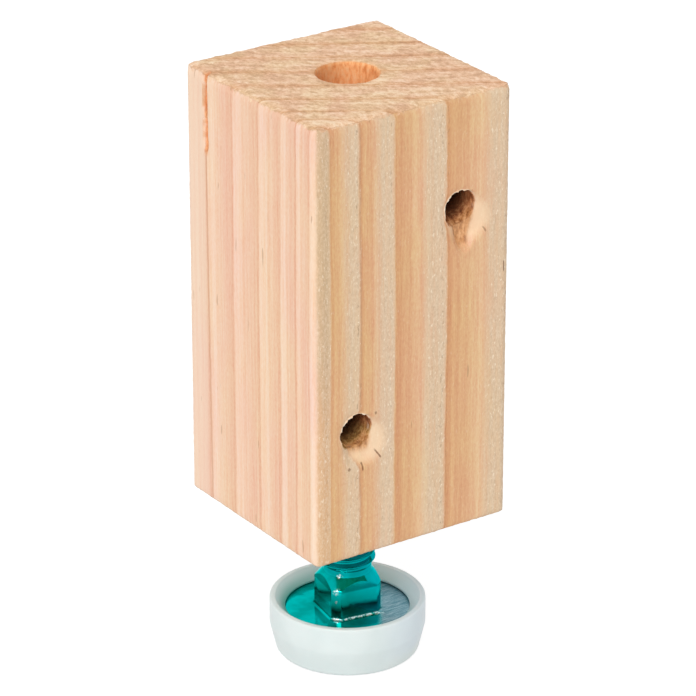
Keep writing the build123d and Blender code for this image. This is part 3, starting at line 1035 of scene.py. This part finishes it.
def white_where_seen(tree, seen, lit):
    """Show one shader to camera, glossy and transmission rays, and light the object with the other."""
    rays = tree.nodes.new("ShaderNodeLightPath")
    either = tree.nodes.new("ShaderNodeMath")
    either.operation = "MAXIMUM"
    tree.links.new(rays.outputs["Is Camera Ray"], either.inputs[0])
    tree.links.new(rays.outputs["Is Glossy Ray"], either.inputs[1])
    both = tree.nodes.new("ShaderNodeMath")
    both.operation = "MAXIMUM"
    tree.links.new(either.outputs["Value"], both.inputs[0])
    tree.links.new(rays.outputs["Is Transmission Ray"], both.inputs[1])
    blend = tree.nodes.new("ShaderNodeMixShader")
    tree.links.new(both.outputs["Value"], blend.inputs["Fac"])
    tree.links.new(lit, blend.inputs[1])
    tree.links.new(seen, blend.inputs[2])
    return blend.outputs["Shader"], rays


def background(tree, strength):
    node = tree.nodes.new("ShaderNodeBackground")
    node.inputs["Color"].default_value = (1, 1, 1, 1)
    node.inputs["Strength"].default_value = strength
    return node.outputs["Background"]


def light_the_room():
    world = bpy.data.worlds.new("white_room")
    bpy.context.scene.world = world
    world.use_nodes = True
    tree = world.node_tree
    tree.nodes.clear()
    output = tree.nodes.new("ShaderNodeOutputWorld")
    shader, _ = white_where_seen(tree, background(tree, 1.0), background(tree, ROOM_LIGHT))
    tree.links.new(shader, output.inputs["Surface"])

    sun = bpy.data.lights.new("key_light", "SUN")
    sun.energy = KEY_LIGHT
    sun.angle = KEY_SPREAD
    key_light = bpy.data.objects.new("key_light", sun)
    key_light.rotation_mode = "QUATERNION"
    key_light.rotation_quaternion = KEY_TOWARDS.to_track_quat("Z", "Y")
    bpy.context.scene.collection.objects.link(key_light)


def lay_floor():
    """A pale floor that looks white where nothing shades it, and can be seen through from below."""
    deselect_all()
    bpy.ops.mesh.primitive_plane_add(size=FLOOR_SIZE, location=(0, 0, -0.1 * MM))
    floor = bpy.context.object
    floor.name = "floor"
    finish = bpy.data.materials.new("pale_floor")
    finish.use_nodes = True
    tree = finish.node_tree
    tree.nodes.clear()
    output = tree.nodes.new("ShaderNodeOutputMaterial")
    plain = tree.nodes.new("ShaderNodeBsdfDiffuse")
    plain.inputs["Color"].default_value = FLOOR_LIT
    dim = tree.nodes.new("ShaderNodeBsdfDiffuse")
    dim.inputs["Color"].default_value = FLOOR_SEEN
    glow = tree.nodes.new("ShaderNodeEmission")
    glow.inputs["Strength"].default_value = FLOOR_GLOW
    seen = tree.nodes.new("ShaderNodeAddShader")
    tree.links.new(dim.outputs["BSDF"], seen.inputs[0])
    tree.links.new(glow.outputs["Emission"], seen.inputs[1])
    shader, rays = white_where_seen(tree, seen.outputs["Shader"], plain.outputs["BSDF"])
    side = tree.nodes.new("ShaderNodeNewGeometry")
    from_below = tree.nodes.new("ShaderNodeMath")
    from_below.operation = "MULTIPLY"
    tree.links.new(side.outputs["Backfacing"], from_below.inputs[0])
    tree.links.new(rays.outputs["Is Camera Ray"], from_below.inputs[1])
    clear = tree.nodes.new("ShaderNodeBsdfTransparent")
    blend = tree.nodes.new("ShaderNodeMixShader")
    tree.links.new(from_below.outputs["Value"], blend.inputs["Fac"])
    tree.links.new(shader, blend.inputs[1])
    tree.links.new(clear.outputs["BSDF"], blend.inputs[2])
    tree.links.new(blend.outputs["Shader"], output.inputs["Surface"])
    floor.data.materials.append(finish)


def place_camera():
    """The photograph's view: from the left front, a little above."""
    back = Vector((sin(VIEW_AZIMUTH) * cos(VIEW_ELEVATION), -cos(VIEW_AZIMUTH) * cos(VIEW_ELEVATION),
                   sin(VIEW_ELEVATION)))
    right = Vector((cos(VIEW_AZIMUTH), sin(VIEW_AZIMUTH), 0))
    up = back.cross(right)
    camera = bpy.data.objects.new("camera", bpy.data.cameras.new("camera"))
    camera.location = (VIEW_AIM + back * VIEW_DISTANCE + right * VIEW_ASIDE - up * VIEW_DOWN) * MM
    camera.rotation_mode = "QUATERNION"
    camera.rotation_quaternion = (-back).to_track_quat("-Z", "Y")
    camera.data.sensor_width = SENSOR_WIDTH
    camera.data.lens = FOCAL_LENGTH
    camera.data.clip_start = 0.01
    bpy.context.scene.collection.objects.link(camera)
    bpy.context.scene.camera = camera


def dress(piece, finish, body, node):
    """Give a new piece its finish, hang it on the body that carries it, and hide the CAD solid that it
    replaces.
    """
    piece.data.materials.clear()
    piece.data.materials.append(finish)
    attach(piece, body)
    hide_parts(node)


place_camera()
light_the_room()
lay_floor()
dress(make_block(), bare_softwood(), "block", "wood_block")
dress(make_screw(), teal_plating(), "screw", "levelling_screw")
dress(make_cup(), milky_plastic(), "glide", "glide_cup")
tee_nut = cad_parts["tee_nut"]
tee_nut.data.materials.clear()
tee_nut.data.materials.append(bright_zinc())

bpy.context.scene.view_settings.view_transform = "Standard"
